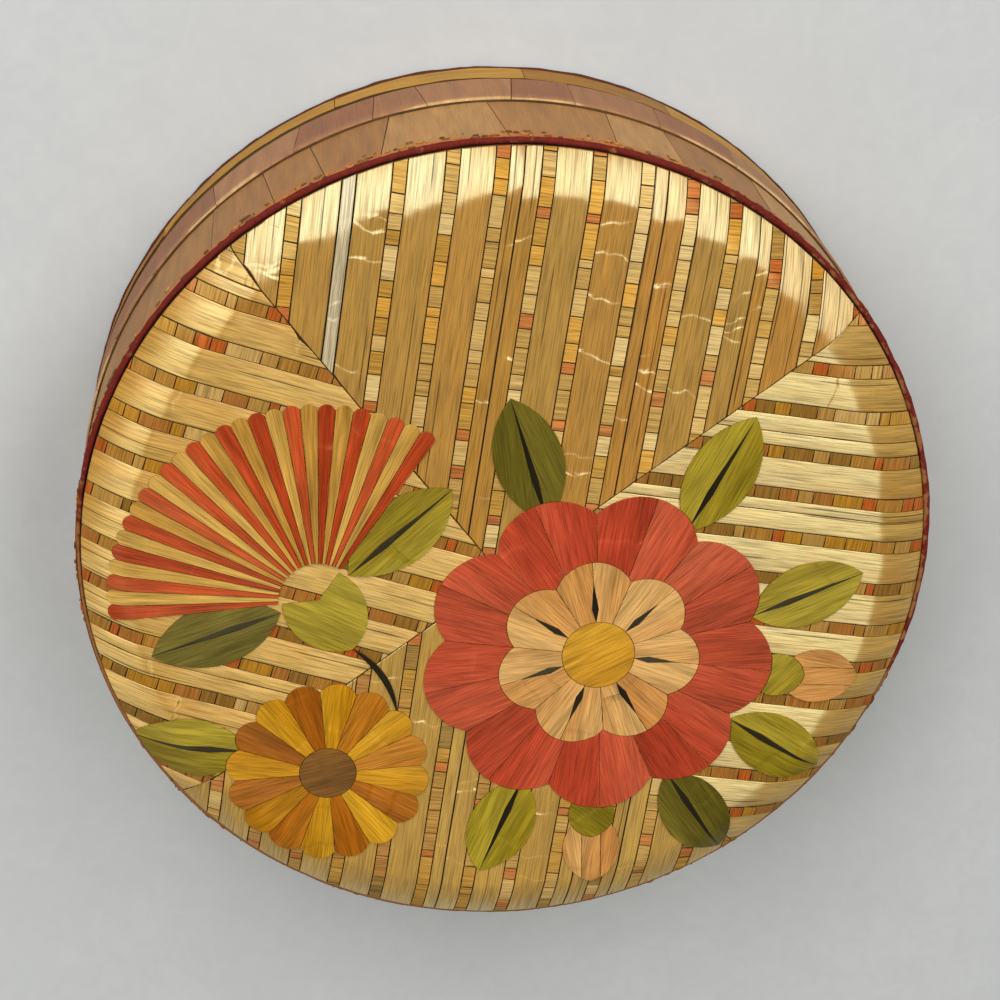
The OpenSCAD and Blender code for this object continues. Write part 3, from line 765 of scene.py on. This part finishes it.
# Chequer bands
# Narrow strips sliced across a sheet of straws glued side by side, so each is a row of small blocks with
# its grain across the strip: natural, gold and amber straw, and now and then a dyed red one.

SHORT_BLOCK = 2.4
RED_SHARE = 0.45
RED_TONE = 0.88


def block_tone(low, high):
    """Picks a block's straw from a part of the mix; some of the short blocks are dyed red."""

    def tone(chance, corners):
        longest = max((a - b).length for a in corners for b in corners)
        short = len(corners) > 3 and longest < SHORT_BLOCK
        return RED_TONE if short and chance.random() < RED_SHARE else chance.uniform(low, high)

    return tone


BLOCK_HABIT = dict(SOUTH_HABIT, cell=(1.2, 1.2), rim=0.06, drop=0.03, shrunk=0.02, wave=0.0, lean=0.03,
                   cracks=0, tone=block_tone(0.0, 0.62))
# The north blocks come from the pale part of the mix and the rest from the darker part: painted light, for
# the brighter sheen on the north bands.
NORTH_BLOCK_HABIT = dict(BLOCK_HABIT, spring=(0.8, 1.2), tone=block_tone(0.4, 0.84))
# Thin slices of many straws: each has one colour of its own, and less wax than a whole straw.
block_mix = straw("mixed chequer straw", [
    (0.0, "#A8742E"), (0.13, "#8A6024"), (0.24, "#A3662A"), (0.36, "#B07A20"), (0.48, "#B08440"),
    (0.58, "#C7A060"), (0.68, "#CB8E2A"), (0.77, "#D6B67C"), (0.85, "#B25218")], "CONSTANT",
    gloss=0.5, sheen=0.92, index=2.1, level=0.75, tint="#FFEEA0", stained=0.9, streak=0.4)

for field, degrees in FIELDS.items():
    node = f"ground_{field}_chequers"
    habit = NORTH_BLOCK_HABIT if field == "north" else BLOCK_HABIT
    course = lay_straws(node, *on_lid(0), lying_at(degrees + 90), habit)
    dress(course, node, "lid", "chequer_straw", block_mix)

# Flowers
# A second layer of dyed straw, glued on the ground. Each petal is cut to shape on its own, with its grain
# running out from the flower's heart, and the hearts are plain discs.

PICTURE_LIFT = span("bloom_heart")[3] - GROUND_TOP
# The fan has no heart: its straws spread from this point.
FAN = (-23, -7)
# Each petal's tone grades across it, paler on one side: painted shade, so that it looks rolled.
PETAL_HABIT = dict(SOUTH_HABIT, cell=(1.0, 1.0), rim=0.07, drop=0.04, shrunk=0, cracks=0.3, crack=0.05,
                   lift=-0.1, wave=0.07, wave_mm=9.0, spring=(0.7, 0.7), skew=0, fade=0.2, tone=any_tone)


def heart(node):
    """The middle of a flower's heart, to a tenth of a millimetre."""
    points = [vert.co.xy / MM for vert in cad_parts[node].data.vertices]
    return [round((min(line) + max(line)) / 2, 1) for line in zip(*points)]


def out_from(x, y):
    """Grain that runs out from a flower's heart."""

    def grain(corners):
        away = middle(corners) - Vector((x, y))
        return math.atan2(away.y, away.x)

    return grain


# Straw takes dye unevenly along its grain, and keeps its ribs and some of its gloss: soft streaks and
# blotches in coral, peach, gold, amber and red. The pale straw is undyed, the brown one scorched in sand.
DYED = {"gloss": 0.5, "stained": 0.5, "streak": 0.32, "mottle": 0.32}
coral = straw("coral dyed straw", [(0.0, "#A83823"), (0.5, "#BC442B"), (0.9, "#C8593C")], **DYED)
peach = straw("peach dyed straw", [(0.0, "#C58646"), (0.5, "#D29855"), (0.9, "#DDAE6C")], **DYED)
gold = straw("gold dyed straw", [(0.0, "#AE720B"), (0.5, "#C3860F"), (0.9, "#D39D23")], **DYED)
amber = straw("amber dyed straw", [(0.0, "#97520B"), (0.5, "#AA610E"), (0.9, "#BE781D")], **DYED)
red = straw("red dyed straw", [(0.0, "#A63716"), (0.5, "#BA441F"), (0.9, "#C5572C")], **DYED)
pale = straw("pale straw", [(0.0, "#B48438"), (0.5, "#C39341"), (0.9, "#D1A653")], **DYED)
brown = straw("brown scorched straw", [(0.0, "#734716"), (0.9, "#87571D")], **DYED)

from_bloom = out_from(*heart("bloom_heart"))
from_fan = out_from(*FAN)
from_daisy = out_from(*heart("daisy_heart"))
for node, slot, finish, grain in (
        ("bloom_outer_petals", "coral_straw", coral, from_bloom),
        ("bloom_inner_petals", "peach_straw", peach, from_bloom),
        ("bloom_heart", "gold_straw", gold, lying_at(35)),
        ("fan_red_straws", "red_straw", red, from_fan),
        ("fan_pale_straws", "pale_straw", pale, from_fan),
        ("daisy_gold_petals", "gold_straw", gold, from_daisy),
        ("daisy_amber_petals", "amber_straw", amber, from_daisy),
        ("daisy_heart", "brown_straw", brown, lying_at(20))):
    dress(lay_straws(node, *on_lid(PICTURE_LIFT), grain, PETAL_HABIT), node, "lid", slot, finish)

# Leaves, cups and buds
# Green dyed straw glued on in the same layer: leaves of two halves with a dark sliver between them for a
# rib, and buds of three straws in green cups.


def along_leaf(corners):
    """Grain along the longest line through a piece."""
    lines = [a - b for a in corners for b in corners]
    longest = max(lines, key=lambda line: line.length)
    return math.atan2(longest.y, longest.x)


# Green dye over gold straw goes olive, and a second bath makes it dark. Black dye almost hides the ribs.
olive = straw("olive dyed straw", [(0.0, "#7F6F11"), (0.5, "#95811B"), (0.9, "#A8952D")], **DYED)
dark_green = straw("dark green dyed straw", [(0.0, "#4D450F"), (0.5, "#5E5516"), (0.9, "#6E6321")], **DYED)
black = straw("black dyed straw", [(0.0, "#171310"), (0.9, "#241E19")], gloss=0.5, stained=0.2)

for node, slot, finish in (
        ("fan_cup", "olive_straw", olive), ("bud_cups", "olive_straw", olive),
        ("olive_leaves", "olive_straw", olive), ("dark_leaves", "dark_green_straw", dark_green),
        ("peach_buds", "peach_straw", peach), ("dark_strokes", "black_straw", black)):
    dress(lay_straws(node, *on_lid(PICTURE_LIFT), along_leaf, PETAL_HABIT), node, "lid", slot, finish)

# Studio
# The box lies on a pale floor under three soft panels side by side overhead, seen from above as in the
# photograph. The panels lie where the lid's shoulder mirrors them to the camera. Here lengths are metres.

FLOOR_HALF = 3.0
LID_TOP = Vector((0, 0, 0.037))
PANEL_NORTH = 0.71
PANEL_UP = 0.96
PANEL_LENGTH = 1.35
PANEL_COLOUR = (1.0, 0.975, 0.92)
WORLD_COLOUR = (0.19, 0.172, 0.13, 1)
LENS_MM = 80.15
SENSOR_MM = 36.0
NEAREST = 0.01
CAMERA_AT = Vector((-0.04005, 0.11579, 0.28469))
LOOKING = Vector((0.1376, -0.3929, -0.9092)).normalized()
HEAD_UP = Vector((-0.1002, 0.9077, -0.4075))


def panel(name, side, width, radiance):
    """A soft panel of plain light, level from side to side and tilted down to the lid."""
    lamp = bpy.data.lights.new(name, "AREA")
    lamp.shape = "RECTANGLE"
    lamp.size = width
    lamp.size_y = PANEL_LENGTH
    lamp.energy = radiance * math.pi * width * PANEL_LENGTH
    lamp.color = PANEL_COLOUR
    made = bpy.data.objects.new(name, lamp)
    bpy.context.scene.collection.objects.link(made)
    made.location = LID_TOP + Vector((side, PANEL_NORTH, PANEL_UP))
    made.rotation_euler = Vector((0, PANEL_NORTH, PANEL_UP)).to_track_quat("Z", "Y").to_euler()


floor_mesh = bpy.data.meshes.new("pale_floor")
floor_bm = bmesh.new()
bmesh.ops.create_grid(floor_bm, x_segments=1, y_segments=1, size=FLOOR_HALF)
floor_bm.to_mesh(floor_mesh)
floor_bm.free()
floor = bpy.data.objects.new("pale_floor", floor_mesh)
bpy.context.scene.collection.objects.link(floor)
# Plain card: pale, matt and even, so that it only catches the shadow.
floor_mesh.materials.append(pulp("plain pale card", "#C4C9CF", "#BEC3CA", fibre_mm=4.0, roughness=0.9))

panel("right_panel", side=0.43, width=0.456, radiance=4.8)
panel("left_panel", side=-0.36, width=0.36, radiance=4.6)
panel("far_left_panel", side=-0.84, width=0.6, radiance=4.8)
world = bpy.data.worlds.new("even studio")
world.use_nodes = True
bpy.context.scene.world = world
backdrop = world.node_tree.nodes["Background"]
backdrop.inputs["Color"].default_value = WORLD_COLOUR
backdrop.inputs["Strength"].default_value = 1.0

lens = bpy.data.cameras.new("camera")
lens.lens = LENS_MM
lens.sensor_width = SENSOR_MM
lens.clip_start = NEAREST
camera = bpy.data.objects.new("camera", lens)
bpy.context.scene.collection.objects.link(camera)
right = LOOKING.cross(HEAD_UP).normalized()
stance = Matrix((right, right.cross(LOOKING), -LOOKING)).transposed()
camera.matrix_world = Matrix.Translation(CAMERA_AT) @ stance.to_4x4()
bpy.context.scene.camera = camera
bpy.context.scene.view_settings.view_transform = "Standard"
